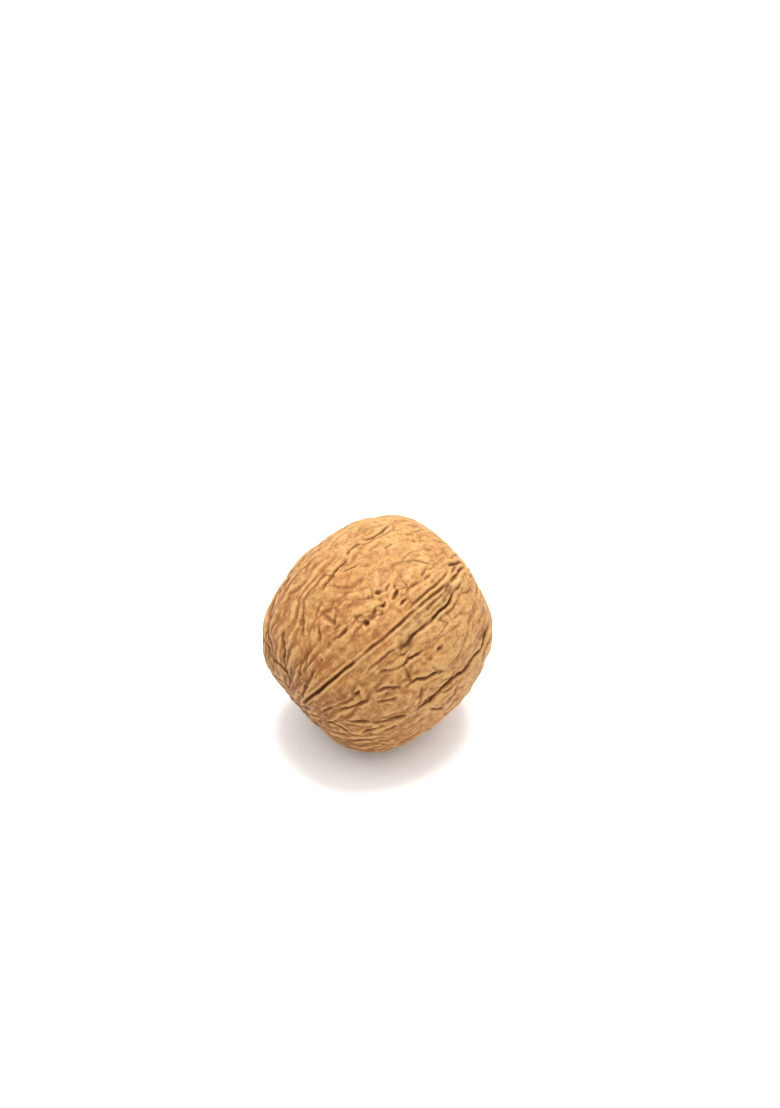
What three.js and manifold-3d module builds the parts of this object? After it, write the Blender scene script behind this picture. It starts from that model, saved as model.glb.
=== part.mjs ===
// A walnut in its shell, lying on its side on a small flat spot. Millimetres, +Z up.
// The shell grew as one woody body: two halves that meet at a seam running from the
// stem end to the pointed tip. The origin is under the middle of the nut, on the plane
// that it rests on.
//
// The surface is first described round the nut's own centre: x runs from the stem end
// to the tip, z points at the near seam, and y points into the upper half. Latitude is
// the angle from the nut's waist towards the tip, and longitude turns about x from the
// near seam towards the upper half. The nut is then turned to the way it lies.
import * as THREE from 'three';
import { mergeVertices } from 'three/addons/utils/BufferGeometryUtils.js';
import Module from 'manifold-3d';

// Overall form
const halfLength = 23.0;        // centre to either end, before the ends sink in
const halfWidth = 18.4;         // centre to side
const eggShare = 0.02;          // how much the tip half is fuller than the stem half
const leanShare = 0.05;         // how much the upper half is fuller than the lower one
const skewShare = 0.03;
const tipSink = { depth: 4.4, spread: 24 };     // shoulders fall away round the tip
const tipPoint = { depth: -0.8, spread: 7 };    // the small point in the middle of them
const stemSink = { depth: 5.4, spread: 26 };    // flattened stem end
const restBulge = { lat: -10, lon: -146, height: 1.6, spread: 24 };   // low side

// Seam: a raised rim on both sides of a fine open line
const rimHeight = 0.4;
const rimInner = 2.3;
const rimOuter = 3.7;
const seamDepth = 0.6;
const seamHalfWidth = 0.55;

// The way it lies
const tipLift = 27;             // the tip points this far above level
const roll = 41;                // the near seam is this far from the top
const flatDepth = 0.45;         // worn off the low side to rest on

// Mesh fineness
const stepsAround = 112;
const stepsAlong = 42;
const seamCrowding = 0.35;      // draws the lines of longitude towards the two seams

const shellColour = 0xc99b62;
const shellRoughness = 0.72;

// Main furrows as [latitude, longitude] in degrees: width and depth in millimetres
const furrows = [
  // beside the near seam, under its smooth lower rim
  { width: 0.9, depth: 0.6, path: [[40, -13], [32, -11], [24, -10], [12, -10], [2, -9]] },
  // lower half, from the seam outwards
  { width: 0.9, depth: 0.5, path: [[8, -20], [0, -18], [-8, -16], [-16, -13]] },
  { width: 0.9, depth: 0.5, path: [[9, -38], [0, -32], [-12, -28], [-26, -20], [-47, -18]] },
  {
    width: 1.1, depth: 0.8,
    path: [[43, -55], [29, -55], [14, -51], [1, -48], [-8, -49], [-22, -46], [-34, -40]],
  },
  { width: 1.0, depth: 0.5, path: [[-50, -30], [-48, -56], [-38, -66], [-22, -84]] },
  { width: 1.1, depth: 0.6, path: [[40, -92], [22, -84], [4, -88], [-18, -98], [-44, -92]] },
  { width: 1.0, depth: 0.6, path: [[46, -118], [26, -112], [8, -116], [-12, -120]] },
  // upper half, from the near seam over the top to the far side
  { width: 0.9, depth: 0.4, path: [[22, 8], [4, 13], [-16, 17], [-28, 18]] },
  { width: 1.1, depth: 0.5, path: [[38, 56], [24, 52], [10, 48], [-9, 44]] },
  { width: 1.0, depth: 0.5, path: [[-30, 38], [-46, 42], [-58, 28]] },
  { width: 1.1, depth: 0.6, path: [[48, 92], [30, 84], [8, 88], [-14, 80], [-36, 84]] },
  { width: 1.0, depth: 0.5, path: [[30, 112], [10, 118], [-12, 110], [-34, 116], [-52, 104]] },
  { width: 1.1, depth: 0.6, path: [[50, 138], [28, 142], [4, 136], [-20, 144], [-46, 140]] },
  // beside the far seam
  { width: 0.9, depth: 0.5, path: [[42, 166], [20, 168], [-4, 165], [-30, 168]] },
  { width: 0.9, depth: 0.5, path: [[34, -164], [12, -168], [-10, -166], [-36, -169]] },
];

const toRadians = THREE.MathUtils.degToRad;
const toDegrees = THREE.MathUtils.radToDeg;

// A unit direction from the nut's centre
function direction(latitude, longitude) {
  const lat = toRadians(latitude);
  const lon = toRadians(longitude);
  return new THREE.Vector3(
    Math.sin(lat),
    Math.cos(lat) * Math.sin(lon),
    Math.cos(lat) * Math.cos(lon),
  );
}

// A smooth hump, 1 in the middle and gone at about twice the spread
function hump(distance, spread) {
  return Math.exp(-((distance / spread) ** 2));
}

// The plump form without seam or furrows
function formRadius(unit) {
  const { x, y, z } = unit;
  const plain = 1 / Math.hypot(x / halfLength, y / halfWidth, z / halfWidth);
  const swell = 1 + eggShare * x * (1 - x * x) + leanShare * y + skewShare * x * y;
  const fromTip = toDegrees(Math.acos(THREE.MathUtils.clamp(x, -1, 1)));
  const fromStem = 180 - fromTip;
  const fromRest = toDegrees(unit.angleTo(restDirection));
  return plain * swell
    - tipSink.depth * hump(fromTip, tipSink.spread)
    - tipPoint.depth * hump(fromTip, tipPoint.spread)
    - stemSink.depth * hump(fromStem, stemSink.spread)
    + restBulge.height * hump(fromRest, restBulge.spread);
}

// Height of the seam's rim and of the open line in it, faded out at both ends
function seamHeight(unit, radius) {
  const fromSeam = Math.asin(Math.abs(unit.y)) * radius;
  const rim = rimHeight * (1 - THREE.MathUtils.smoothstep(fromSeam, rimInner, rimOuter));
  const line = seamDepth * hump(fromSeam, seamHalfWidth);
  const ends = 1 - THREE.MathUtils.smoothstep(Math.abs(unit.x), 0.9, 1);
  return (rim - line) * ends;
}

function furrowDepth(unit, radius) {
  let depth = 0;
  const nearest = new THREE.Vector3();
  for (const furrow of furrowLines) {
    for (const segment of furrow.segments) {
      segment.closestPointToPoint(unit, true, nearest);
      const distance = nearest.distanceTo(unit) * radius;
      depth = Math.max(depth, furrow.depth * hump(distance, furrow.width));
    }
  }
  return depth;
}

const restDirection = direction(restBulge.lat, restBulge.lon);

const furrowLines = furrows.map(({ width, depth, path }) => {
  const points = path.map(([latitude, longitude]) => direction(latitude, longitude));
  const segments = points.slice(1).map((point, i) => new THREE.Line3(points[i], point));
  return { width, depth, segments };
});

function makeNutSurface() {
  const geometry = new THREE.SphereGeometry(1, stepsAround, stepsAlong);
  geometry.rotateZ(-Math.PI / 2);       // its poles become the two ends
  const position = geometry.getAttribute('position');
  const unit = new THREE.Vector3();
  for (let i = 0; i < position.count; i += 1) {
    unit.fromBufferAttribute(position, i);
    const longitude = Math.atan2(unit.y, unit.z);
    const crowded = longitude - seamCrowding * Math.sin(2 * longitude);
    const ring = Math.hypot(unit.y, unit.z);
    unit.set(unit.x, ring * Math.sin(crowded), ring * Math.cos(crowded)).normalize();
    const radius = formRadius(unit);
    const height = seamHeight(unit, radius) - furrowDepth(unit, radius);
    unit.multiplyScalar(radius + height);
    position.setXYZ(i, unit.x, unit.y, unit.z);
  }
  geometry.deleteAttribute('normal');
  geometry.deleteAttribute('uv');
  return mergeVertices(geometry, 1e-4);
}

// Turns the nut to the way it lies, with the middle of its box over the origin
function layDown(geometry) {
  const lift = toRadians(tipLift);
  const turn = toRadians(roll);
  const tip = new THREE.Vector3(Math.cos(lift), 0, Math.sin(lift));
  const upright = new THREE.Vector3(-Math.sin(lift), 0, Math.cos(lift));
  const seam = new THREE.Vector3(0, -1, 0).multiplyScalar(Math.sin(turn));
  seam.addScaledVector(upright, Math.cos(turn));
  const upper = new THREE.Vector3().crossVectors(seam, tip);
  geometry.applyMatrix4(new THREE.Matrix4().makeBasis(tip, upper, seam));
  geometry.computeBoundingBox();
  const { min, max } = geometry.boundingBox;
  geometry.translate(-(min.x + max.x) / 2, -(min.y + max.y) / 2, -(min.z + flatDepth));
}

const wasm = await Module();
wasm.setup();

function toSolid(geometry) {
  return new wasm.Manifold(new wasm.Mesh({
    numProp: 3,
    vertProperties: new Float32Array(geometry.getAttribute('position').array),
    triVerts: new Uint32Array(geometry.getIndex().array),
  }));
}

function toGeometry(solid) {
  const mesh = solid.getMesh();
  const geometry = new THREE.BufferGeometry();
  geometry.setAttribute('position', new THREE.BufferAttribute(mesh.vertProperties, 3));
  geometry.setIndex(new THREE.BufferAttribute(mesh.triVerts, 1));
  geometry.computeVertexNormals();
  return geometry;
}

// Takes everything below the resting plane off the nut
function cutFlatSpot(geometry) {
  const side = 3 * halfLength;
  const box = new THREE.BoxGeometry(side, side, side);
  box.translate(0, 0, -side / 2);
  box.deleteAttribute('normal');
  box.deleteAttribute('uv');
  const solid = toSolid(geometry).subtract(toSolid(mergeVertices(box, 1e-4)));
  return toGeometry(solid);
}

function makeWalnut() {
  const surface = makeNutSurface();
  layDown(surface);
  const material = new THREE.MeshStandardMaterial({
    color: shellColour,
    roughness: shellRoughness,
    metalness: 0,
  });
  const walnut = new THREE.Mesh(cutFlatSpot(surface), material);
  walnut.name = 'walnut';
  return walnut;
}

const model = new THREE.Group();
model.add(makeWalnut());

export default model;
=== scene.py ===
import math
import random

import bmesh
import bpy
import numpy as np
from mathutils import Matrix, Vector, noise


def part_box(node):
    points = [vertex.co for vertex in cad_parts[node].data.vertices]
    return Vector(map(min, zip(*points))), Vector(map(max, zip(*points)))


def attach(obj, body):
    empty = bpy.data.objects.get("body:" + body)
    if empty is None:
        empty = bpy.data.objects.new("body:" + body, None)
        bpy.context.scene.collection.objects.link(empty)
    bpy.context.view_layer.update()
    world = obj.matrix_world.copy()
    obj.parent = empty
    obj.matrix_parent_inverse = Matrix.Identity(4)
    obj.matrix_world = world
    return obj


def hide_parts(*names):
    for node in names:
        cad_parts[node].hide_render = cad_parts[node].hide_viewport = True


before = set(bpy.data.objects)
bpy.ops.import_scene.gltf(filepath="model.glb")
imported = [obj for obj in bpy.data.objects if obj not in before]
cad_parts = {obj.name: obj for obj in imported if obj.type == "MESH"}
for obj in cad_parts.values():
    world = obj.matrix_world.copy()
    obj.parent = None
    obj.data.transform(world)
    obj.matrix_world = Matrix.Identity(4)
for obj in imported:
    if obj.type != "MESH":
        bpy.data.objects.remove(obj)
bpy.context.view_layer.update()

# A walnut in its shell on a pale floor. Metres in the scene, millimetres in the settings.
# Places on the nut are given as (latitude, longitude) in degrees: latitude runs from the
# stem end, -90, to the tip, 90, and longitude turns from the near seam, 0, up over the
# upper half, 90, to the far seam, 180, with the lower half on the negative side.
mm = 0.001


# Directions from the nut's middle
def onSphere(lat, lon):
    lat, lon = np.radians(lat), np.radians(lon)
    return np.stack([np.sin(lat), np.cos(lat) * np.sin(lon), np.cos(lat) * np.cos(lon)], -1)


# 1 in the middle, falling softly to 0 past the spread
def hump(distance, spread):
    return np.exp(-(distance / spread) ** 2)


# 0 below low, 1 above high, and a soft slope between
def ease(value, low, high):
    t = np.clip((value - low) / (high - low), 0, 1)
    return t * t * (3 - 2 * t)


# Soft noise from -1 to 1; the offset keeps one pattern apart from the others
def noiseAt(points, offset):
    moved = points + np.array([offset, offset * 1.7, offset * 0.3])
    return np.array([noise.noise(Vector(p)) for p in moved])


# The plump form: an egg that is sunk round the tip and the stem end. Depths, heights and
# spreads of the sinks, the point and the bulge are in mm and degrees.
form = {
    "halfLength": 23.0,
    "halfWidth": 18.4,
    "egg": 0.02,                # fuller towards the tip
    "lean": 0.05,               # fuller on the upper half
    "skew": 0.03,               # and there fuller towards the tip
    "tipSink": (4.4, 24),
    "tipPoint": (1.3, 6),
    "stemSink": (5.4, 26),
    "restBulge": (1.6, 24),
    "restPlace": (-10, -146),
    "tipLift": 27,              # how the nut lies, in degrees
    "roll": 41,
    "cuts": 127,                # along each edge of the starting cube
    "seamCrowding": 0.15,       # draws the squares together at the two seams
    "swell": (0.22, 0.22, 0.09),        # height of the low swells, how often across and along
    "lump": (0.17, 1.5, 4.0),           # height of the soft lumps, their size across and along
    "pebble": (0.09, 15, 32, 0.6),      # height of the small bumps, how often, the finer share
    "spike": (0.1, 0.22),       # height from which a lone point is let down, and all the way
}


# An evenly divided cube, which is then blown up to a ball
def makeBall():
    bm = bmesh.new()
    bmesh.ops.create_cube(bm, size=2)
    bmesh.ops.subdivide_edges(bm, edges=bm.edges[:], cuts=form["cuts"], use_grid_fill=True)
    mesh = bpy.data.meshes.new("walnutShell")
    bm.to_mesh(mesh)
    bm.free()
    return mesh


def ballDirections(mesh):
    corners = np.empty(len(mesh.vertices) * 3)
    mesh.vertices.foreach_get("co", corners)
    corners = np.tan(corners.reshape(-1, 3) * math.pi / 4)      # evens out the squares
    unit = corners / np.linalg.norm(corners, axis=1)[:, None]
    lon = np.arctan2(unit[:, 1], unit[:, 2])
    crowded = lon - form["seamCrowding"] * np.sin(2 * lon)
    ring = np.hypot(unit[:, 1], unit[:, 2])
    return np.stack([unit[:, 0], ring * np.sin(crowded), ring * np.cos(crowded)], -1)


def formRadius(unit):
    x, y, z = unit.T
    radius = 1 / np.sqrt((x / form["halfLength"]) ** 2 + (y * y + z * z) / form["halfWidth"] ** 2)
    radius *= 1 + form["egg"] * x * (1 - x * x) + form["lean"] * y + form["skew"] * x * y
    fromTip = np.degrees(np.arccos(np.clip(x, -1, 1)))
    fromRest = np.degrees(np.arccos(np.clip(unit @ onSphere(*form["restPlace"]), -1, 1)))
    for (depth, spread), away in ((form["tipSink"], fromTip), (form["stemSink"], 180 - fromTip)):
        radius -= depth * hump(away, spread)
    for (height, spread), away in ((form["tipPoint"], fromTip), (form["restBulge"], fromRest)):
        radius += height * hump(away, spread)
    return radius


# Patches that grew smooth, with few lumps and veins: place, spread in degrees, and how smooth
calmPatches = [
    ((34, 36), 22, 0.4),
    ((6, 34), 22, 0.3),
    ((28, -26), 16, 0.35),
    ((-4, 118), 20, 0.4),
    ((20, -150), 20, 0.4),
]


def shellRoughness(unit):
    rough = np.ones(len(unit))
    for place, spread, calm in calmPatches:
        away = np.degrees(np.arccos(np.clip(unit @ onSphere(*place), -1, 1)))
        rough *= 1 - calm * hump(away, spread)
    return rough


# The seam's raised rim, and the band of it that the husk left smooth and buff
seam = {
    "rimHeight": 0.3,                   # in mm, as the next two
    "rimWidth": 3.1,
    "rimFade": 0.9,
    "rimEnds": (66, 80),                # latitudes where the rim starts to fade and is gone
    "buffLat": (-2, 8, 42, 47),         # fades in, whole, whole, fades out
    "buffLon": (-10.5, -8.5, -2.5, -0.5),
}


def seamRim(unit, plain, lat, lon):
    fromSeam = np.abs(np.arcsin(np.clip(unit[:, 1], -1, 1))) * plain
    outer = ease(fromSeam, seam["rimWidth"] - seam["rimFade"], seam["rimWidth"] + seam["rimFade"])
    rim = (1 - outer) * (1 - ease(np.abs(lat), *seam["rimEnds"]))
    buff = 1
    for value, (a, b, c, d) in ((lat, seam["buffLat"]), (lon, seam["buffLon"])):
        buff = buff * ease(value, a, b) * (1 - ease(value, c, d))
    return rim, buff


# Furrows: path, half width and depth in mm, how dark, and step (how much higher the
# side towards the upper seam stands); uneven says how much the width comes and goes
furrows = [
    # the open seam, from the stem end to the tip
    dict(path=[(-68, 5), (-58, 4.5), (-48, 2.5), (-38, 2), (-20, 1)], width=0.36, depth=0.8, dark=1.05,
         uneven=0.1, wander=0.2),
    dict(path=[(-38, 2), (-16, 0.5), (0, 0), (14, 0)], width=0.24, depth=0.4, dark=0.95, uneven=0.15,
         wander=0.3),
    dict(path=[(4, 0), (20, 0), (32, -1), (44, -2)], width=0.22, depth=0.35, dark=0.9, uneven=0.2,
         wander=0.3),
    dict(path=[(14, 2), (30, 3), (39, 2.5), (49, 4)], width=0.22, depth=0.3, dark=0.85, wander=0.4),
    dict(path=[(19, -4), (27, -4), (40, -4)], width=0.2, depth=0.25, dark=0.7, wander=0.4),
    dict(path=[(37, -4.6), (42, -3)], width=0.3, depth=0.4, dark=1.0),
    dict(path=[(41, -2.2), (47, -2), (54, -2), (64, -1)], width=0.2, depth=0.4, dark=0.9, wander=0.5),
    dict(path=[(43, 0), (50, 2), (60, 3)], width=0.18, depth=0.25, dark=0.8, wander=0.5),
    dict(path=[(47, 8), (50, 6.5), (55, 5), (65, 4)], width=0.22, depth=0.45, dark=0.85, wander=0.5),
    dict(path=[(41, -8.5), (43, -9), (46, -8.8), (50, -7)], width=0.24, depth=0.35, dark=0.85),
    dict(path=[(50, -8), (51, -13), (53, -19)], width=0.28, depth=0.25, dark=0.5),
    dict(path=[(56, -6), (60, -12), (62, -22)], width=0.26, depth=0.25, dark=0.45),
    dict(path=[(52, 12), (58, 12), (66, 14)], width=0.24, depth=0.3, dark=0.5),
    # under the lower rim
    dict(path=[(44, -9.5), (37, -11.5), (31, -11.5), (26, -10.3), (18, -10.5)], width=0.38, depth=0.8,
         dark=1.0, step=0.35, uneven=0.2),
    dict(path=[(22, -10.5), (14, -10), (8, -10), (1, -9)], width=0.34, depth=0.6, dark=0.8, step=0.3),
    dict(path=[(12, -10.8), (4, -10), (-4, -9.5)], width=1.1, depth=0.6, dark=0.6, uneven=0.2),
    dict(path=[(2, -9), (-6, -8), (-14, -8), (-24, -8)], width=0.4, depth=0.25, dark=0.35),
    # lower half
    dict(path=[(10, -21), (5, -19), (0, -18), (-4, -18), (-9, -16)], width=0.36, depth=0.6, dark=1.0,
         step=0.15, uneven=0.2),
    dict(path=[(-5, -17), (-12, -15), (-19, -13)], width=0.36, depth=0.35, dark=0.7),
    dict(path=[(12, -25.5), (20, -26.5)], width=0.38, depth=0.5, dark=1.0, uneven=0.15),
    dict(path=[(7, -27), (11, -26)], width=0.34, depth=0.35, dark=0.8),
    dict(path=[(2, -22), (5, -28)], width=0.24, depth=0.12, dark=0.4),
    dict(path=[(12, -40), (6, -36), (1, -34), (-2, -30), (-8, -29), (-13, -28)], width=0.34,
         depth=0.5, dark=0.95, step=0.15, uneven=0.2),
    dict(path=[(-12, -28), (-20, -22), (-27, -20)], width=0.36, depth=0.5, dark=0.95, step=0.15),
    dict(path=[(-31, -15), (-36, -14)], width=0.36, depth=0.4, dark=0.95),
    dict(path=[(-25, -21), (-32, -21), (-40, -19), (-49, -18)], width=0.36, depth=0.4, dark=0.7),
    dict(path=[(-45, -15), (-50, -12), (-58, -9)], width=0.32, depth=0.35, dark=0.8),
    dict(path=[(-17, -32), (-23, -29), (-30, -25)], width=0.36, depth=0.3, dark=0.6),
    dict(path=[(1, -45), (-6, -37)], width=0.26, depth=0.2, dark=0.5),
    # the long furrow low on the lower half
    dict(path=[(50, -56), (44, -55), (36, -56), (29, -55), (21, -54), (14, -51), (6, -48), (1, -48),
               (-4, -50), (-8, -49), (-16, -47)],
         width=0.34, depth=0.65, dark=1.0, step=0.4, uneven=0.25),
    dict(path=[(-10, -49), (-22, -46), (-29, -43), (-36, -39), (-47, -28)], width=0.28, depth=0.35,
         dark=0.8, step=0.15),
    dict(path=[(-10, -52), (-7, -56), (-4, -60), (-2, -68)], width=0.32, depth=0.45, dark=0.8),
    dict(path=[(-33, -44), (-40, -44), (-46, -44)], width=0.34, depth=0.4, dark=0.8),
    dict(path=[(-48, -27), (-42, -32), (-37, -37)], width=0.28, depth=0.3, dark=0.6),
    dict(path=[(-57, -20), (-54, -30), (-50, -42), (-45, -51)], width=0.34, depth=0.45, dark=0.8),
    dict(path=[(-54, -52), (-48, -56), (-42, -60), (-35, -70)], width=0.34, depth=0.45, dark=0.7),
    dict(path=[(-65, -20), (-58, -22), (-54, -30)], width=0.3, depth=0.35, dark=0.7),
    # upper half, beside the seam
    dict(path=[(11, 8), (17, 7.5), (23, 7.5)], width=0.44, depth=0.55, dark=1.0),
    dict(path=[(6, 14.5), (2, 12), (-3, 12)], width=0.38, depth=0.5, dark=1.0),
    dict(path=[(-3, 12), (-7, 13)], width=0.5, depth=0.45, dark=0.95),
    dict(path=[(-11, 18), (-18, 16), (-24, 18), (-31, 18)], width=0.38, depth=0.5, dark=0.8),
    dict(path=[(20, 10), (28, 10), (38, 10), (46, 10)], width=0.32, depth=0.25, dark=0.45),
    dict(path=[(27, 23), (33, 24), (38, 21), (45, 13)], width=0.26, depth=0.2, dark=0.45),
    # upper half, further out
    dict(path=[(42, 57), (34, 54), (30, 53), (22, 52)], width=0.42, depth=0.5, dark=0.7, step=-0.1),
    dict(path=[(24, 51.5), (16, 52), (12, 49)], width=0.38, depth=0.45, dark=0.65),
    dict(path=[(14, 49), (6, 47), (-2, 46), (-11, 44)], width=0.42, depth=0.5, dark=0.7, step=-0.1),
    dict(path=[(14, 40), (9, 41), (3, 42)], width=0.3, depth=0.3, dark=0.5),
    dict(path=[(34, 41), (28, 38)], width=0.3, depth=0.2, dark=0.45),
    dict(path=[(-12, 39), (-17, 36), (-24, 32)], width=0.28, depth=0.2, dark=0.35),
    dict(path=[(-10, 29), (-14, 26), (-19, 23)], width=0.24, depth=0.15, dark=0.3),
    dict(path=[(-24, 41), (-29, 38), (-34, 34)], width=0.34, depth=0.35, dark=0.7),
    dict(path=[(-21, 31), (-25, 28), (-30, 23)], width=0.26, depth=0.25, dark=0.55),
    # gathers round the stem end
    dict(path=[(-36, 50), (-46, 43), (-54, 38), (-63, 22)], width=0.32, depth=0.4, dark=0.7),
    dict(path=[(-43, 42), (-48, 43), (-53, 39)], width=0.32, depth=0.35, dark=0.85),
    dict(path=[(-44, 64), (-55, 56), (-54, 46), (-56, 34), (-64, 28)], width=0.32, depth=0.4,
         dark=0.75),
    dict(path=[(-42, 82), (-50, 74), (-53, 62), (-57, 50)], width=0.3, depth=0.35, dark=0.6),
    dict(path=[(-34, 29), (-44, 24), (-54, 18)], width=0.28, depth=0.3, dark=0.55),
    dict(path=[(-32, 17), (-45, 13), (-58, 11)], width=0.28, depth=0.25, dark=0.5),
    dict(path=[(-64, 100), (-68, 70), (-66, 46), (-66, 24)], width=0.46, depth=0.6, dark=1.0,
         step=0.1),
    dict(path=[(-60, -5), (-66, -4), (-74, 4)], width=0.5, depth=0.6, dark=1.0),
    # low side and back
    dict(path=[(40, -92), (22, -84), (4, -88), (-18, -98), (-44, -92)], width=0.45, depth=0.7,
         dark=0.9, step=0.3),
    dict(path=[(46, -118), (26, -112), (8, -116), (-12, -120), (-30, -114)], width=0.42, depth=0.6,
         dark=0.9, step=-0.2),
    dict(path=[(20, -98), (12, -102), (0, -101)], width=0.34, depth=0.45, dark=0.8),
    dict(path=[(-50, -76), (-34, -80), (-26, -76)], width=0.36, depth=0.5, dark=0.8),
    dict(path=[(36, -138), (22, -134), (6, -138)], width=0.36, depth=0.5, dark=0.8),
    dict(path=[(-30, -140), (-44, -136), (-58, -142)], width=0.36, depth=0.5, dark=0.8),
    dict(path=[(48, 92), (30, 84), (8, 88), (-14, 80), (-36, 84)], width=0.42, depth=0.6, dark=0.85,
         step=-0.2),
    dict(path=[(30, 112), (10, 118), (-12, 110), (-34, 116), (-52, 104)], width=0.4, depth=0.6,
         dark=0.85, step=0.2),
    dict(path=[(50, 138), (28, 142), (4, 136), (-20, 144), (-46, 140)], width=0.44, depth=0.7,
         dark=0.95, step=-0.3),
    dict(path=[(22, 126), (8, 129), (-2, 127)], width=0.34, depth=0.4, dark=0.8),
    dict(path=[(-22, 96), (-30, 98), (-40, 95)], width=0.34, depth=0.4, dark=0.7),
    dict(path=[(16, 100), (24, 98), (36, 102)], width=0.34, depth=0.4, dark=0.7),
    dict(path=[(42, 166), (20, 168), (-4, 165), (-30, 168)], width=0.42, depth=0.6, dark=0.9,
         step=-0.2),
    dict(path=[(34, -164), (12, -168), (-10, -166), (-36, -169)], width=0.42, depth=0.6, dark=0.9,
         step=0.2),
    dict(path=[(14, 152), (2, 154), (-10, 150)], width=0.34, depth=0.4, dark=0.8),
    # the far seam
    dict(path=[(-74, 178), (-60, 179), (-44, 180), (-20, 179)], width=0.44, depth=0.8, dark=1.0),
    dict(path=[(-26, 179), (0, 180), (26, -179), (50, 180), (68, 178)], width=0.32, depth=0.45,
         dark=0.8),
]

# Gathers where the shell draws together at its ends: how many, latitude where they start and
# where the shortest and the longest one ends, half width, depth and how dark
gathers = {
    "stem": (40, -72, -56, -38, 0.26, 0.26, 0.6),
    "tip": (22, 74, 62, 50, 0.24, 0.2, 0.45),
}
shaker = random.Random(11)
for count, start, shortest, longest, width, depth, dark in gathers.values():
    for i in range(count):
        lon = 360 * (i + shaker.uniform(-0.3, 0.3)) / count - 180
        end = shaker.uniform(shortest, longest)
        bend = shaker.uniform(-7, 7)
        strength = shaker.uniform(0.5, 1)
        path = [(start, lon), ((start + end) / 2, lon + bend), (end, lon + 0.6 * bend)]
        furrows.append(dict(path=path, width=width, depth=depth * strength, dark=dark * strength))

furrowRules = {
    "slim": 0.62,               # share of the widths given above
    "thinnest": 0.24,           # half width in mm of the thinnest groove that the mesh holds
    "uneven": 0.3,
    "unevenOften": 13,
    "endLength": 2.4,           # mm over which an end runs out to a point
    "wander": (0.55, 7.5),      # mm that a path strays, as a grown furrow does, and how often
    "wanderFine": (0.14, 22),
    "lip": (0.3, 2.1, 1.1),     # shoulders: share of the depth, place and spread in half widths
    "valley": (0.4, 1.2),       # share of the depth that the shell sinks all round, and how far in mm
    "step": (0.2, 2.2),         # mm over which a step rises, and over which it dies away
    "stainAndShade": 1.5,               # spread of the brown husk residue and painted shade, in half widths
    "lineFade": (1.6, 2.6),     # where the dark line dies away, in half widths
}


# The points of a path with its corners cut once, so that it bends softly
def roundedPath(path):
    points = onSphere(*np.array(path, float).T)
    early = 0.75 * points[:-1] + 0.25 * points[1:]
    late = 0.25 * points[:-1] + 0.75 * points[1:]
    cut = np.stack([early, late], 1).reshape(-1, 3)[1:-1]
    return np.concatenate([points[:1], cut, points[-1:]])


# Distance in mm across a path on the shell, with a sign for the side, the distance along it
# and its whole length
def alongPath(unit, radius, points):
    steps = np.linalg.norm(np.diff(points, axis=0), axis=1)
    starts = np.concatenate([[0], np.cumsum(steps)])
    nearest = np.full(len(unit), 1e9)
    run = np.zeros(len(unit))
    side = np.ones(len(unit))
    for i, (a, b) in enumerate(zip(points, points[1:])):
        line = b - a
        t = np.clip((unit - a) @ line / (line @ line), 0, 1)
        gap = np.linalg.norm(unit - (a + t[:, None] * line), axis=1)
        closer = gap < nearest
        nearest = np.where(closer, gap, nearest)
        run = np.where(closer, starts[i] + t * steps[i], run)
        side = np.where(closer, np.where(unit @ np.cross(a, line) < 0, -1, 1), side)
    return nearest * radius * side, run * radius, starts[-1] * radius


def cutFurrows(unit, stray, plain, height, known):
    lip, lipPlace, lipSpread = furrowRules["lip"]
    valley, valleySpread = furrowRules["valley"]
    stepRise, stepRun = furrowRules["step"]
    recessStainAndShade = np.zeros(len(plain))
    # three channels: a furrow takes the one that is emptiest where it runs
    across = np.full((len(plain), 3), 9.0)
    here = np.zeros((len(plain), 3))
    for k, furrow in enumerate(furrows):
        points = roundedPath(furrow["path"])
        middle = points.mean(0)
        furthest = np.linalg.norm(points - middle, axis=1).max()
        # points further off than 0.4 of the nut's radius are out of a furrow's reach
        near = np.flatnonzero(np.linalg.norm(unit - middle, axis=1) < furthest + 0.4)
        wandering = unit[near] + furrow.get("wander", 1) * stray[near]
        gap, run, length = alongPath(wandering, plain[near], points)
        end = np.minimum(furrowRules["endLength"], 0.4 * length)    # short ones end sooner
        taper = ease(run / end, 0, 1) * ease((length - run) / end, 0, 1)
        often = noiseAt(wandering * furrowRules["unevenOften"], 1.1 + k)
        uneven = 1 + furrow.get("uneven", furrowRules["uneven"]) * often
        spread = furrow["width"] * furrowRules["slim"] * uneven
        depth = furrow["depth"] * taper * uneven
        wide = np.maximum(spread, furrowRules["thinnest"])
        height[near] -= depth * np.exp(-np.abs(gap / wide) ** 1.3)
        height[near] += lip * depth * hump(np.abs(gap) - lipPlace * wide, lipSpread * wide)
        height[near] -= valley * depth * hump(gap, valleySpread)
        fall = np.tanh(gap / stepRise) * np.exp(-np.abs(gap / stepRun) ** 1.4)
        height[near] += 0.5 * furrow.get("step", 0) * fall * taper
        # the brown round a furrow and the dark line in it: husk residue together with painted shade in
        # the groove
        dark = furrow["dark"] * taper * np.clip(uneven ** 1.5, 0.5, 1.1)
        recessStainAndShade[near] = np.maximum(recessStainAndShade[near], dark * hump(gap, furrowRules["stainAndShade"] * wide))
        ratio = gap / spread
        dark *= 1 - ease(np.abs(ratio), *furrowRules["lineFade"])
        channel = here[near[np.abs(ratio) < 2.5]].sum(0).argmin()
        closer = np.abs(ratio) - dark < np.abs(across[near, channel]) - here[near, channel]
        across[near[closer], channel] = ratio[closer]
        here[near[closer], channel] = dark[closer]
    known["furrowAcross"] = across
    known["furrowHere"] = here
    known["recessStainAndShade"] = recessStainAndShade
    print(len(furrows), "furrows cut")
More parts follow.
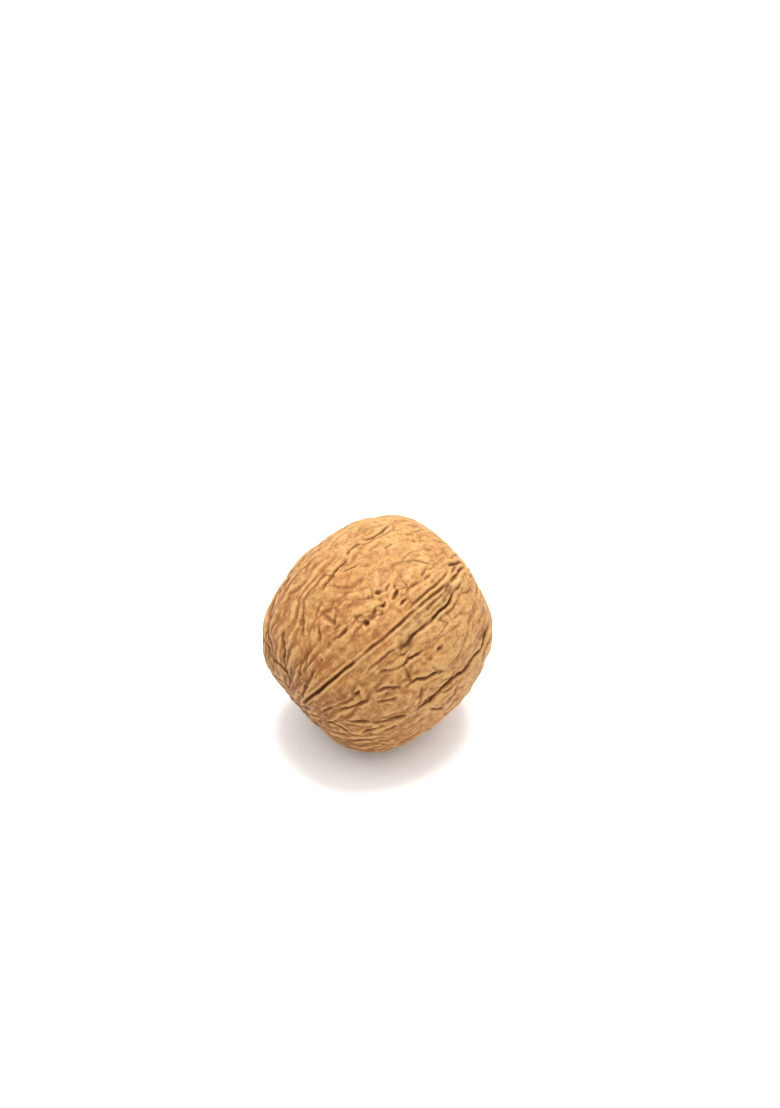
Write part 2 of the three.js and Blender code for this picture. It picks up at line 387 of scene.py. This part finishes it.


# Pits: place, half width, half length along the grain and depth in mm
pits = [
    ((16, 14), 0.34, 0.51, 0.6), ((16.5, 16.5), 0.22, 0.34, 0.4), ((8, 12.5), 0.29, 0.59, 0.6),
    ((10, 13.5), 0.22, 0.34, 0.35), ((11, 20), 0.27, 0.42, 0.5), ((14, 19), 0.19, 0.42, 0.3),
    ((4, 20), 0.2, 0.34, 0.25), ((-16, 22), 0.22, 0.42, 0.35), ((29, -31), 0.24, 0.51, 0.3),
    ((-34, 16), 0.21, 0.34, 0.3), ((4, -54), 0.24, 0.59, 0.3), ((23, -4), 0.19, 0.34, 0.2),
    ((12, 150), 0.29, 0.51, 0.5), ((-8, 158), 0.32, 0.51, 0.5), ((24, 158), 0.24, 0.51, 0.5),
    ((-18, -160), 0.27, 0.42, 0.5), ((6, -158), 0.32, 0.59, 0.5), ((30, -152), 0.24, 0.42, 0.4),
    ((-34, 128), 0.24, 0.42, 0.4), ((0, 98), 0.24, 0.42, 0.4), ((-89, 0), 0.64, 0.68, 0.5),
    ((-2, -76), 0.24, 0.51, 0.4),
    ((32, 72), 0.22, 0.42, 0.3), ((-22, 64), 0.22, 0.42, 0.3), ((44, 34), 0.19, 0.34, 0.25),
]
pitRules = {
    "ragged": 1.8,              # how ragged the pits are, as a share of what the furrows stray
    "lip": (0.15, 1.7, 0.6),    # rim of a pit: share of the depth, place and spread
}


def pressPits(unit, stray, plain, height, known):
    lip, lipPlace, lipSpread = pitRules["lip"]
    ragged = unit + pitRules["ragged"] * stray
    hollow = np.zeros(len(plain))
    for (lat, lon), halfWidth, halfLength, depth in pits:
        spot = onSphere(lat, lon)
        north = onSphere(lat + 90, lon)
        away = (ragged - spot) * plain[:, None]
        dAlong, dAcross = away @ north, away @ np.cross(spot, north)
        gap = np.sqrt((dAlong / halfLength) ** 2 + (dAcross / halfWidth) ** 2)
        gap[ragged @ spot < 0] = 9
        height -= depth * np.exp(-gap ** 2.2)
        height += lip * depth * hump(gap - lipPlace, lipSpread)
        # how far into a pit a point lies; the finish paints it brown and dark as painted shade
        # together with husk residue
        hollow = np.maximum(hollow, min(1, 2 * depth) * hump(gap, 1))
    known["hollow"] = hollow


# Knobs and swollen lips: place, spread along and across in mm, height, how far it is rubbed pale
swellings = [
    ((46, -5.6), 1.2, 0.45, 0.7, 1.0),      # small pale knob beside the seam near the tip
    ((24, -6), 7.0, 1.5, 0.30, 0.0),        # smooth lower rim
    ((6, -6), 5.0, 1.5, 0.22, 0.0),
    ((-46, -2), 6.0, 1.2, 0.14, 0.2),       # swollen lips of the open seam
    ((-46, 6), 6.0, 1.3, 0.14, 0.2),
    ((34, 18), 4.5, 1.6, 0.18, 0.2),
    ((40, 1), 5.0, 0.5, 0.10, 0.5),         # pale strip between the lines near the tip
    ((-30, -32), 5.0, 1.8, 0.20, 0.1),
    ((-10, -40), 5.0, 2.2, 0.18, 0.1),
    ((8, -32), 5.0, 2.2, 0.15, 0.5),
]


def raiseSwellings(unit, plain, lat, lon, height, known):
    rubbed = np.zeros(len(plain))
    for (spotLat, spotLon), spreadAlong, spreadAcross, rise, pale in swellings:
        facing = unit @ onSphere(spotLat, spotLon) > 0
        dAlong = np.radians(lat - spotLat) * plain
        dAcross = np.radians(lon - spotLon) * np.cos(np.radians(lat)) * plain
        spot = facing * hump(dAlong, spreadAlong) * hump(dAcross, spreadAcross)
        height += rise * spot
        rubbed = np.maximum(rubbed, pale * spot)
    known["rubbed"] = rubbed


# Nets of grown veins between the listed furrows: size of a mesh of the net across and along
# the grain, half width and depth of a vein, how much the shell swells between veins, how dark
# a vein is, how strong the net is where the listed furrows lie, and the share of it that is gone.
# Each hash splits the meshes into two kinds, and veins run only between the two kinds.
nets = [
    dict(across=5.0, along=16.0, width=0.24, depth=0.3, swell=0.26, dark=0.85, front=0.4, gone=0.0,
         hashes=((12.9, 78.2, 37.7), (39.3, 11.1, 83.2)), seed=2.2),
    dict(across=2.5, along=7.5, width=0.18, depth=0.15, swell=0.16, dark=0.7, front=0.85, gone=0.1,
         hashes=((26.6, 51.7, 93.5),), seed=14.4),
]
netRules = {
    "wander": (1.3, 5.0),       # mm that a vein strays, and over what length
    "wanderFine": (0.35, 1.4),
    "thinnest": 0.26,           # half width in mm of the thinnest vein that the mesh holds
    "reach": (84, 50),          # latitude that nets reach, less a share for a finer mesh
    "reachFade": (12, 4),       # degrees before and past it between which a net dies away
    "frontLon": (58, 84),       # longitudes where the front with its listed furrows ends
    "stemLat": (25, 60),        # latitudes between which the net closes up towards the stem
    "stemMore": 0.4,            # how much it closes up there
    "patches": (3, 3, 6),       # size in mm of the stretches that a net leaves out
    "patchEdge": 0.3,
    "swellRun": 0.35,           # how far from a vein the swell is whole, as a share of the mesh
}


# Distance in mm from the nearest vein, with a sign that changes across it: a vein is a border
# between two cells of different kinds
def netGap(points, cells, size, stretch, kindHash):
    kinds = np.sin(cells @ np.array(kindHash)) > 0
    around = np.stack([-points[:, 1], points[:, 0]], -1)
    around /= np.linalg.norm(around, axis=1)[:, None]
    own = cells[:, 0]
    nearest = np.full(len(points), 9.0)
    for other in range(1, cells.shape[1]):
        between = cells[:, other] - own
        between /= np.linalg.norm(between, axis=1)[:, None]
        level = np.einsum("ij,ij->i", (own + cells[:, other]) / 2 - points / size, between)
        lean = between / size
        slope = np.hypot((lean[:, :2] * around).sum(1) * stretch, lean[:, 2])
        gap = level / np.maximum(slope, 0.3 / size[2])      # a level border has no slope here
        nearest = np.where(kinds[:, other] != kinds[:, 0], np.minimum(nearest, gap), nearest)
    return np.where(kinds[:, 0], nearest, -nearest)


def growNets(grain, lat, lon, plain, rough, height, known):
    for (amount, length), offset in ((netRules["wander"], 40.1), (netRules["wanderFine"], 71.3)):
        turns = np.stack([noiseAt(grain / length, offset + k) for k in (0, 3.7, 9.1)], -1)
        grain = grain + amount * turns
    stretch = form["halfWidth"] / (np.cos(np.radians(lat)) * plain)
    front = 1 - ease(np.abs(lon), *netRules["frontLon"])
    closing = netRules["stemMore"] * ease(-lat, *netRules["stemLat"])
    edge = netRules["patchEdge"]
    furthest, finer = netRules["reach"]
    before, past = netRules["reachFade"]
    across, here = [], []
    for net in nets:
        size = np.array([net["across"], net["across"], net["along"]])
        points = grain + net["seed"]
        cells = np.array([[tuple(c) for c in noise.voronoi(Vector(p))[1]] for p in points / size])
        reach = furthest - finer / net["across"] ** 0.5     # finer nets stop short of the ends
        shown = rough * (1 - ease(np.abs(lat), reach - before, reach + past))
        shown *= 1 + (net["front"] - 1) * front
        patchy = noiseAt(grain / np.array(netRules["patches"]), net["seed"] + 50)
        fade = ease(patchy - net["gone"] + closing, -edge, edge) * shown
        wide = max(net["width"], netRules["thinnest"])
        swell = net["swell"] / len(net["hashes"])
        for kindHash in net["hashes"]:
            gap = netGap(points, cells, size, stretch, kindHash)
            height -= net["depth"] * fade * np.exp(-np.abs(gap / wide) ** 1.4)
            height += swell * shown * ease(np.abs(gap), 0, netRules["swellRun"] * net["across"])
            # how dark the finish draws this vein: painted shade in its groove together with husk
            # residue
            across.append(gap / net["width"])
            here.append(net["dark"] * fade)
    known["netAcross"] = np.stack(across, -1)
    known["netHere"] = np.stack(here, -1)
    print("nets grown")


# Height above the surroundings, in mm: above 0 on ridges and lips, below 0 in hollows. More
# rounds take in wider surroundings.
def standingOut(mesh, height, rounds):
    ends = np.empty(len(mesh.edges) * 2, dtype=np.int64)
    mesh.edges.foreach_get("vertices", ends)
    a, b = ends.reshape(-1, 2).T
    total = len(height)
    count = np.bincount(a, minlength=total) + np.bincount(b, minlength=total)
    smooth = height
    for _ in range(rounds):
        smooth = (np.bincount(a, smooth[b], total) + np.bincount(b, smooth[a], total)) / count
    return height - smooth


# How the grain runs: coordinates in mm round the nut and along it, without a join
grainRules = {
    "squash": 0.85,             # the grain's length over the nut's
    "drift": (0.10, 3.2),       # radians that it drifts round the nut, and how often
}


def grainPlaces(unit, lat, lon):
    drift, often = grainRules["drift"]
    along = np.radians(lat) * form["halfLength"] * grainRules["squash"]
    turned = np.radians(lon) + drift * noiseAt(unit * often, 5.5)
    ring = form["halfWidth"] * np.stack([np.cos(turned), np.sin(turned)], -1)
    return np.concatenate([ring, along[:, None]], 1)


# Radius of the finished shell, and what its finish needs to know about each point
def sculpt(unit, mesh):
    plain = formRadius(unit)
    lat = np.degrees(np.arcsin(np.clip(unit[:, 0], -1, 1)))
    lon = np.degrees(np.arctan2(unit[:, 1], unit[:, 2]))
    grain = grainPlaces(unit, lat, lon)
    rim, buff = seamRim(unit, plain, lat, lon)
    rough = shellRoughness(unit)
    known = {"grain": grain, "buff": buff}

    stray = 0
    for (amount, often), offset in ((furrowRules["wander"], 3.1), (furrowRules["wanderFine"], 21.3)):
        turns = np.stack([noiseAt(unit * often, offset + k) for k in (0, 4.6, 9.8)], -1)
        stray = stray + amount / form["halfWidth"] * turns

    height = seam["rimHeight"] * rim
    swell, across, along = form["swell"]
    height += swell * noiseAt(grain * np.array([across, across, along]), 8.8) * (1 - 0.6 * rim)
    lump, across, along = form["lump"]
    height += lump * rough * noiseAt(grain / np.array([across, across, along]), 2.9)
    pebble, often, oftenFine, fineShare = form["pebble"]
    height += pebble * (noiseAt(unit * often, 4.4) + fineShare * noiseAt(unit * oftenFine, 6.6))
    cutFurrows(unit, stray, plain, height, known)
    pressPits(unit, stray, plain, height, known)
    raiseSwellings(unit, plain, lat, lon, height, known)
    growNets(grain, lat, lon, plain, rough * (1 - 0.85 * rim), height, known)   # few on the rim
    spike = standingOut(mesh, height, 1)
    height -= spike * ease(np.abs(spike), *form["spike"])
    # the finish paints ridges pale and hollows brown from this height: rubbed wear and husk residue
    # together with painted highlight and painted shade
    known["relief"] = standingOut(mesh, height, 14)
    return plain + height, known


def layDown(points):
    lift, turn = math.radians(form["tipLift"]), math.radians(form["roll"])
    tip = Vector((math.cos(lift), 0, math.sin(lift)))
    upright = Vector((-math.sin(lift), 0, math.cos(lift)))
    nearSeam = upright * math.cos(turn) + Vector((0, -1, 0)) * math.sin(turn)
    upper = nearSeam.cross(tip)
    turned = points @ np.array([tip, upper, nearSeam])
    boxLow, boxHigh = (np.array(corner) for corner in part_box("walnut"))
    low, high = turned.min(0), turned.max(0)
    shift = (boxLow + boxHigh) / 2 - (low + high) / 2
    shift[2] = boxHigh[2] - high[2]
    placed = turned + shift
    placed[:, 2] = np.maximum(placed[:, 2], boxLow[2])      # the flat spot it rests on
    return placed, Vector(shift)


def makeWalnut():
    mesh = makeBall()
    unit = ballDirections(mesh)
    print("ball made,", len(unit), "points")
    radius, known = sculpt(unit, mesh)
    placed, centre = layDown(unit * radius[:, None] * mm)
    mesh.vertices.foreach_set("co", placed.ravel())
    for name, values in known.items():
        kind, field = ("FLOAT_VECTOR", "vector") if values.ndim == 2 else ("FLOAT", "value")
        attribute = mesh.attributes.new(name, kind, "POINT")
        attribute.data.foreach_set(field, values.astype(np.float32).ravel())
    bm = bmesh.new()
    bm.from_mesh(mesh)
    bmesh.ops.recalc_face_normals(bm, faces=bm.faces[:])
    bm.to_mesh(mesh)
    bm.free()
    mesh.shade_smooth()
    walnut = bpy.data.objects.new("walnutShell", mesh)
    bpy.context.scene.collection.objects.link(walnut)
    print("walnut shaped")
    return walnut, centre


def linear(hexColour):
    parts = [int(hexColour[i:i + 2], 16) / 255 for i in (1, 3, 5)]
    return [p / 12.92 if p <= 0.04045 else ((p + 0.055) / 1.055) ** 2.4 for p in parts] + [1]


def addNode(tree, kind, settings=None, links=None):
    node = tree.nodes.new(kind)
    for name, value in (settings or {}).items():
        if isinstance(name, int) or name in node.inputs:
            node.inputs[name].default_value = value
        else:
            setattr(node, name, value)
    for name, source in (links or {}).items():
        tree.links.new(source, node.inputs[name])
    return node


shellFinish = {
    "colours": {
        "pale": "#B28A54",
        "tan": "#9F6C37",
        "ochre": "#7D491D",
        "rose": "#9A6238",
        "buff": "#74522F",
        # brown and dark lie in the furrows, veins and pits as husk residue together with painted
        # shade; brown also draws the streaks and fibres
        "brown": "#663C16",
        "dark": "#3E1407",
    },
    # pattern: size in mm, across and along the grain or the same every way, detail, roughness.
    # The grit of the real shell is about 0.1 mm and is drawn coarser, so that it shows.
    "patterns": {
        "patches": ((6.0,), 3, 0.5),
        "blush": ((2.4,), 2, 0.5),
        "pebble": ((0.95,), 3, 0.6),
        "grit": ((0.42,), 2, 0.6),
        "mottle": ((1.2, 3.0), 4, 0.65),
        "fibre": ((0.36, 1.6), 3, 0.6),
        "streak": ((0.8, 5.0), 3, 0.6),
    },
    # over the pale ground: what drives a layer of colour, where it starts and where it is
    # whole, strength, colour
    "layers": [
        ("patches", 0.36, 0.64, 1.0, "tan"),
        ("blush", 0.5, 0.7, 0.35, "rose"),
        # ochre towards the stem end and paler towards the raised tip: partly the shell's own tone,
        # partly painted shade low down and painted light from above on the top
        ("alongGrain", 4, -20, 0.9, "ochre"),
        ("alongGrain", 2, 22, 0.35, "pale"),
        ("mottle", 0.52, 0.36, 0.6, "ochre"),
        ("mottle", 0.56, 0.7, 0.4, "pale"),
        ("buff", 0, 1, 0.75, "buff"),
        ("streak", 0.42, 0.56, 0.75, "brown"),
        ("fibre", 0.5, 0.68, 0.35, "brown"),
        # the same noise that raises the pebbles and grit colours them, pale on the raised ones and
        # ochre to brown in the low ones: random tone laid as painted highlight and painted shade
        ("pebble", 0.5, 0.34, 0.5, "ochre"),
        ("pebble", 0.54, 0.7, 0.5, "pale"),
        ("grit", 0.5, 0.34, 0.4, "brown"),
        # pale on ridges and brown in hollows: rubbed wear and husk residue together with painted
        # highlight and painted shade
        ("relief", 0.01, 0.08, 0.7, "pale"),
        ("relief", -0.015, -0.12, 0.75, "brown"),
        ("rubbed", 0.1, 0.9, 0.8, "pale"),
        # veins, furrows and pits go brown, and dark at their bottoms: painted shade in the grooves
        # together with husk residue
        ("netLine", 0, 0.5, 0.8, "brown"),
        ("recessStainAndShade", 0.1, 1.0, 0.45, "brown"),
        ("furrowLine", 0, 0.4, 0.9, "brown"),
        ("furrowLine", 0.35, 0.85, 1.0, "dark"),
        ("hollow", 0.4, 0.7, 0.8, "brown"),
        ("hollow", 0.6, 1.0, 1.0, "dark"),
    ],
    # what a pattern's reach is measured by, where it starts to show and where it is whole, in mm
    "reaches": {"fibre": ("fromMiddle", 25, 19), "streak": ("alongGrain", -5, -18)},
    # relief too fine for the mesh: heights in mm
    "bumps": [("pebble", 0.22), ("grit", 0.07), ("fibre", -0.07), ("mottle", 0.25), ("streak", -0.22),
              ("netLine", -0.08), ("furrowLine", -0.08)],
    "roughness": (0.58, 0.78),
    "ior": 1.5,
    "specular": 0.25,           # dry open grain glints less than a smooth skin would
}


# Walnut shell, husked and sun-dried: matte wood with a fine dry grain, pale where it was
# rubbed, and brown to dark in the furrows, veins and pits from scraps of the husk dried there
# together with painted shade
def walnutShellFinish():
    material = bpy.data.materials.new("walnutShellSunDried")
    material.use_nodes = True
    tree = material.node_tree
    tree.nodes.clear()

    values = {}
    for name in ("grain", "furrowAcross", "furrowHere", "netAcross", "netHere"):
        values[name] = addNode(tree, "ShaderNodeAttribute", {"attribute_name": name}).outputs["Vector"]
    for name in ("recessStainAndShade", "hollow", "relief", "rubbed", "buff"):
        values[name] = addNode(tree, "ShaderNodeAttribute", {"attribute_name": name}).outputs["Fac"]
    grainParts = addNode(tree, "ShaderNodeSeparateXYZ", None, {"Vector": values["grain"]})
    values["alongGrain"] = grainParts.outputs["Z"]
    place = addNode(tree, "ShaderNodeTexCoord").outputs["Object"]

    for name, (size, detail, rough) in shellFinish["patterns"].items():
        scale = [1 / size[0], 1 / size[0], 1 / size[1]] if len(size) == 2 else [1 / (size[0] * mm)] * 3
        source = values["grain"] if len(size) == 2 else place
        scaled = addNode(tree, "ShaderNodeMapping", {"Scale": scale}, {"Vector": source})
        pattern = addNode(tree, "ShaderNodeTexNoise",
                          {"Scale": 1, "Detail": detail, "Roughness": rough},
                          {"Vector": scaled.outputs["Vector"]})
        values[name] = pattern.outputs["Fac"]

    # fibres crowd together at both ends, so they fade there, and streaks show at the stem end
    length = addNode(tree, "ShaderNodeMath", {"operation": "ABSOLUTE"}, {0: values["alongGrain"]})
    values["fromMiddle"] = length.outputs[0]
    for name, (driver, start, whole) in shellFinish["reaches"].items():
        reach = addNode(tree, "ShaderNodeMapRange", {"From Min": start, "From Max": whole},
                        {"Value": values[driver]})
        shown = addNode(tree, "ShaderNodeMath", {"operation": "MULTIPLY"},
                        {0: values[name], 1: reach.outputs[0]})
        values[name] = shown.outputs[0]

    # thin lines where the stored distance passes through zero: how strong the line is here,
    # less the distance, so that a line runs out to a point
    for name in ("furrow", "net"):
        away = addNode(tree, "ShaderNodeVectorMath", {"operation": "ABSOLUTE"},
                       {0: values[name + "Across"]})
        tent = addNode(tree, "ShaderNodeVectorMath", {"operation": "SUBTRACT"},
                       {0: values[name + "Here"], 1: away.outputs[0]})
        parts = addNode(tree, "ShaderNodeSeparateXYZ", None, {"Vector": tent.outputs[0]}).outputs
        higher = addNode(tree, "ShaderNodeMath", {"operation": "MAXIMUM"}, {0: parts[0], 1: parts[1]})
        highest = addNode(tree, "ShaderNodeMath", {"operation": "MAXIMUM"},
                          {0: higher.outputs[0], 1: parts[2]})
        line = addNode(tree, "ShaderNodeMath", {"operation": "MAXIMUM", 1: 0}, {0: highest.outputs[0]})
        values[name + "Line"] = line.outputs[0]

    colours = {name: linear(code) for name, code in shellFinish["colours"].items()}
    colour = None
    for driver, start, whole, strength, name in shellFinish["layers"]:
        factor = addNode(tree, "ShaderNodeMapRange",
                         {"From Min": start, "From Max": whole, "To Max": strength},
                         {"Value": values[driver]})
        layer = addNode(tree, "ShaderNodeMix",
                        {"data_type": "RGBA", 6: colours["pale"], 7: colours[name]},
                        {0: factor.outputs[0]})
        if colour:
            tree.links.new(colour, layer.inputs[6])
        colour = layer.outputs[2]

    relief = None
    for driver, rise in shellFinish["bumps"]:
        part = addNode(tree, "ShaderNodeMath", {"operation": "MULTIPLY_ADD", 1: rise, 2: 0},
                       {0: values[driver]})
        if relief:
            tree.links.new(relief, part.inputs[2])
        relief = part.outputs[0]
    bump = addNode(tree, "ShaderNodeBump", {"Distance": mm}, {"Height": relief})
    low, high = shellFinish["roughness"]
    dullness = addNode(tree, "ShaderNodeMapRange",
                       {"From Min": 0.3, "From Max": 0.7, "To Min": low, "To Max": high},
                       {"Value": values["mottle"]})
    shine = {"IOR": shellFinish["ior"], "Specular IOR Level": shellFinish["specular"]}
    shader = addNode(tree, "ShaderNodeBsdfPrincipled", shine, {
        "Base Color": colour, "Normal": bump.outputs[0], "Roughness": dullness.outputs[0]})
    addNode(tree, "ShaderNodeOutputMaterial", None, {"Surface": shader.outputs[0]})
    return material


floorSettings = {
    "radius": 4000,
    "colour": "#F8F8F7",
    "roughness": 0.9,
    "specular": 0.2,
}


# Matt white paper: even and without gloss, so only the soft shadow shows
def paperFinish():
    material = bpy.data.materials.new("paperMattWhite")
    material.use_nodes = True
    shader = material.node_tree.nodes["Principled BSDF"]
    shader.inputs["Base Color"].default_value = linear(floorSettings["colour"])
    shader.inputs["Roughness"].default_value = floorSettings["roughness"]
    shader.inputs["Specular IOR Level"].default_value = floorSettings["specular"]
    return material


def makeFloor():
    bm = bmesh.new()
    bmesh.ops.create_circle(bm, cap_ends=True, segments=96, radius=floorSettings["radius"] * mm)
    mesh = bpy.data.meshes.new("floor")
    bm.to_mesh(mesh)
    bm.free()
    floor = bpy.data.objects.new("floor", mesh)
    bpy.context.scene.collection.objects.link(floor)
    mesh.materials.append(paperFinish())


lightSettings = {
    "lamps": {
        # name: size in mm, power in watts, place in mm, colour
        "key": (400, 7.0, (100, 80, 700), "#FFFFFF"),
        "ceiling": (1200, 2.0, (0, 0, 500), "#FFFFFF"),
    },
    "surround": ("#FFFFFF", 1.0),      # colour and strength of the light from all round
}


def makeLights():
    for name, (size, power, place, colour) in lightSettings["lamps"].items():
        data = bpy.data.lights.new(name, "AREA")
        data.shape = "DISK"
        data.size = size * mm
        data.energy = power
        data.color = linear(colour)[:3]
        lamp = bpy.data.objects.new(name, data)
        bpy.context.scene.collection.objects.link(lamp)
        lamp.location = Vector(place) * mm
        lamp.rotation_euler = (-lamp.location).to_track_quat("-Z", "Y").to_euler()
    colour, strength = lightSettings["surround"]
    world = bpy.data.worlds.new("softWhite")
    bpy.context.scene.world = world
    world.use_nodes = True
    background = world.node_tree.nodes["Background"]
    background.inputs["Color"].default_value = linear(colour)
    background.inputs["Strength"].default_value = strength
    bpy.context.scene.view_settings.view_transform = "Standard"


# The camera looks down on the nut from the front left
cameraSettings = {
    "elevation": 38,
    "azimuth": -34,
    "distance": 420,
    "lens": 78,
    "aimRight": 1.8,            # the middle of the picture lies this far from the nut's centre
    "aimUp": 14.8,
}


def makeCamera(centre):
    azimuth, elevation = (math.radians(cameraSettings[k]) for k in ("azimuth", "elevation"))
    back = Vector((math.sin(azimuth) * math.cos(elevation),
                   -math.cos(azimuth) * math.cos(elevation), math.sin(elevation)))
    right = Vector((math.cos(azimuth), math.sin(azimuth), 0))
    up = back.cross(right)
    camera = bpy.data.objects.new("camera", bpy.data.cameras.new("camera"))
    bpy.context.scene.collection.objects.link(camera)
    camera.data.lens = cameraSettings["lens"]
    camera.data.clip_start = 0.01
    aim = centre + (right * cameraSettings["aimRight"] + up * cameraSettings["aimUp"]) * mm
    camera.location = aim + back * cameraSettings["distance"] * mm
    camera.rotation_euler = back.to_track_quat("Z", "Y").to_euler()
    bpy.context.scene.camera = camera


walnut, centre = makeWalnut()
walnut.data.materials.append(walnutShellFinish())
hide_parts("walnut")
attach(walnut, "root")
print("finish laid on")
makeFloor()
makeLights()
makeCamera(centre)
print("stage set")
